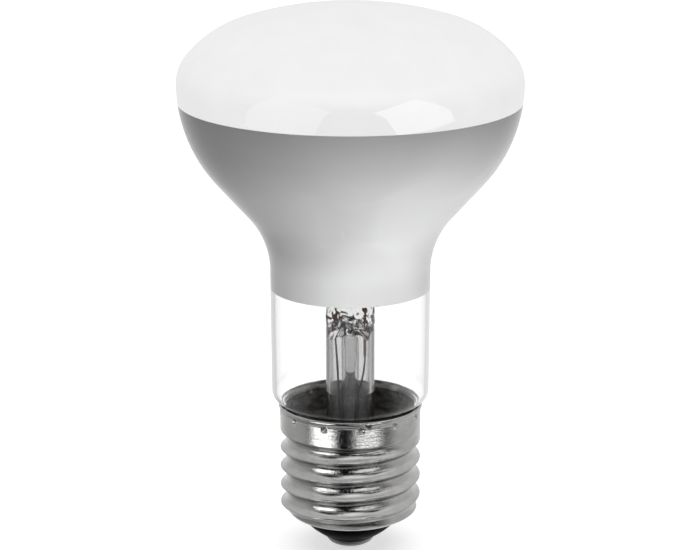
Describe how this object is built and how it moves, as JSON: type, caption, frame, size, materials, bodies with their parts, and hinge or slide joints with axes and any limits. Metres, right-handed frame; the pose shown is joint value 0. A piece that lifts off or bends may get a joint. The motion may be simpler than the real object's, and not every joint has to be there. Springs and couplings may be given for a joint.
{
  "type": "reflector bulb",
  "caption": "Reflector lamp bulb with a white dome, an inner metal reflector film, a clear glass neck over a pressed glass stem, and a screw cap.",
  "frame": {"origin": "tip of the solder on the centre contact, on the lamp's axis", "axes": "+Z along the lamp's axis from the cap to the dome; -Y faces the picture's viewer"},
  "size_m": [0.063, 0.063, 0.1027],
  "materials": {
    "clear_glass": "clear blown glass",
    "white_coat": "white powder behind glossy glass",
    "reflector_film": "satin grey film behind glass",
    "copper_wire": "oxidised copper",
    "tungsten": "drawn and coiled",
    "nickel_wire": "drawn wire",
    "support_wire": "drawn wire",
    "nickel_plate": "bright rolled sheet",
    "black_glass": "glossy cast glass",
    "contact_metal": "stamped, bright",
    "solder": "cast, satin",
    "thin_lead": "drawn wire, oxidised",
    "weld": "melted bead"
  },
  "bodies": {
    "root": {"glass_bulb": "clear_glass", "frost_coat": "white_coat", "mirror_coat": "reflector_film", "stem": "clear_glass", "exhaust_tube": "clear_glass", "mount_button": "clear_glass", "dumet_left": "copper_wire", "dumet_right": "copper_wire", "filament": "tungsten", "inner_lead_left": "nickel_wire", "inner_lead_right": "nickel_wire", "support_wire_1": "support_wire", "support_wire_2": "support_wire", "support_wire_3": "support_wire", "cap_shell": "nickel_plate", "cap_insulator": "black_glass", "centre_contact": "contact_metal", "contact_solder": "solder", "centre_lead": "thin_lead", "side_lead": "thin_lead", "side_weld": "weld"}
  },
  "joints": []
}
